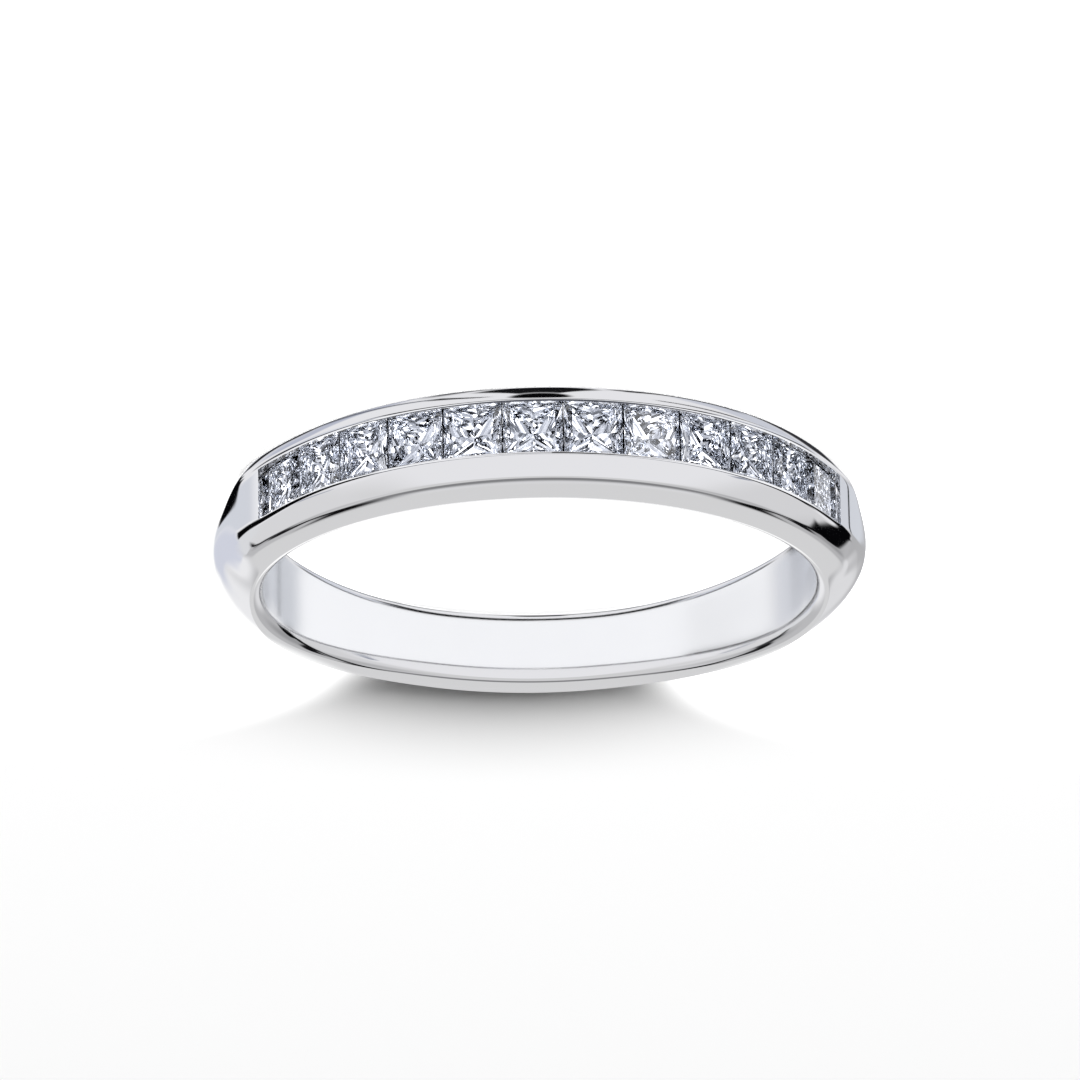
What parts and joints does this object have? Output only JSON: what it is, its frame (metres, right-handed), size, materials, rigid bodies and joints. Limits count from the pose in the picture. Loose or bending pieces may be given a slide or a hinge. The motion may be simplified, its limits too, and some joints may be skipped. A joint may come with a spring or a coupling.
{
  "type": "channel set band",
  "caption": "Polished white metal ring with a row of square cut clear stones held between two sloped channel walls over a domed, tapering shank.",
  "frame": {"origin": "on the axis of the finger hole, level with the side that the ring rests on", "axes": "+Z along the finger hole's axis, up from the side it rests on; -Y towards the middle of the row of stones; +X along the row at its middle"},
  "size_m": [0.0206, 0.0214, 0.0031],
  "materials": {
    "white_metal": "high polish, solid white precious metal",
    "clear_stone": "cut and polished, clear and colourless"
  },
  "bodies": {
    "root": {"band": "white_metal", "stone_01": "clear_stone", "stone_02": "clear_stone", "stone_03": "clear_stone", "stone_04": "clear_stone", "stone_05": "clear_stone", "stone_06": "clear_stone", "stone_07": "clear_stone", "stone_08": "clear_stone", "stone_09": "clear_stone", "stone_10": "clear_stone", "stone_11": "clear_stone", "stone_12": "clear_stone"}
  },
  "joints": []
}
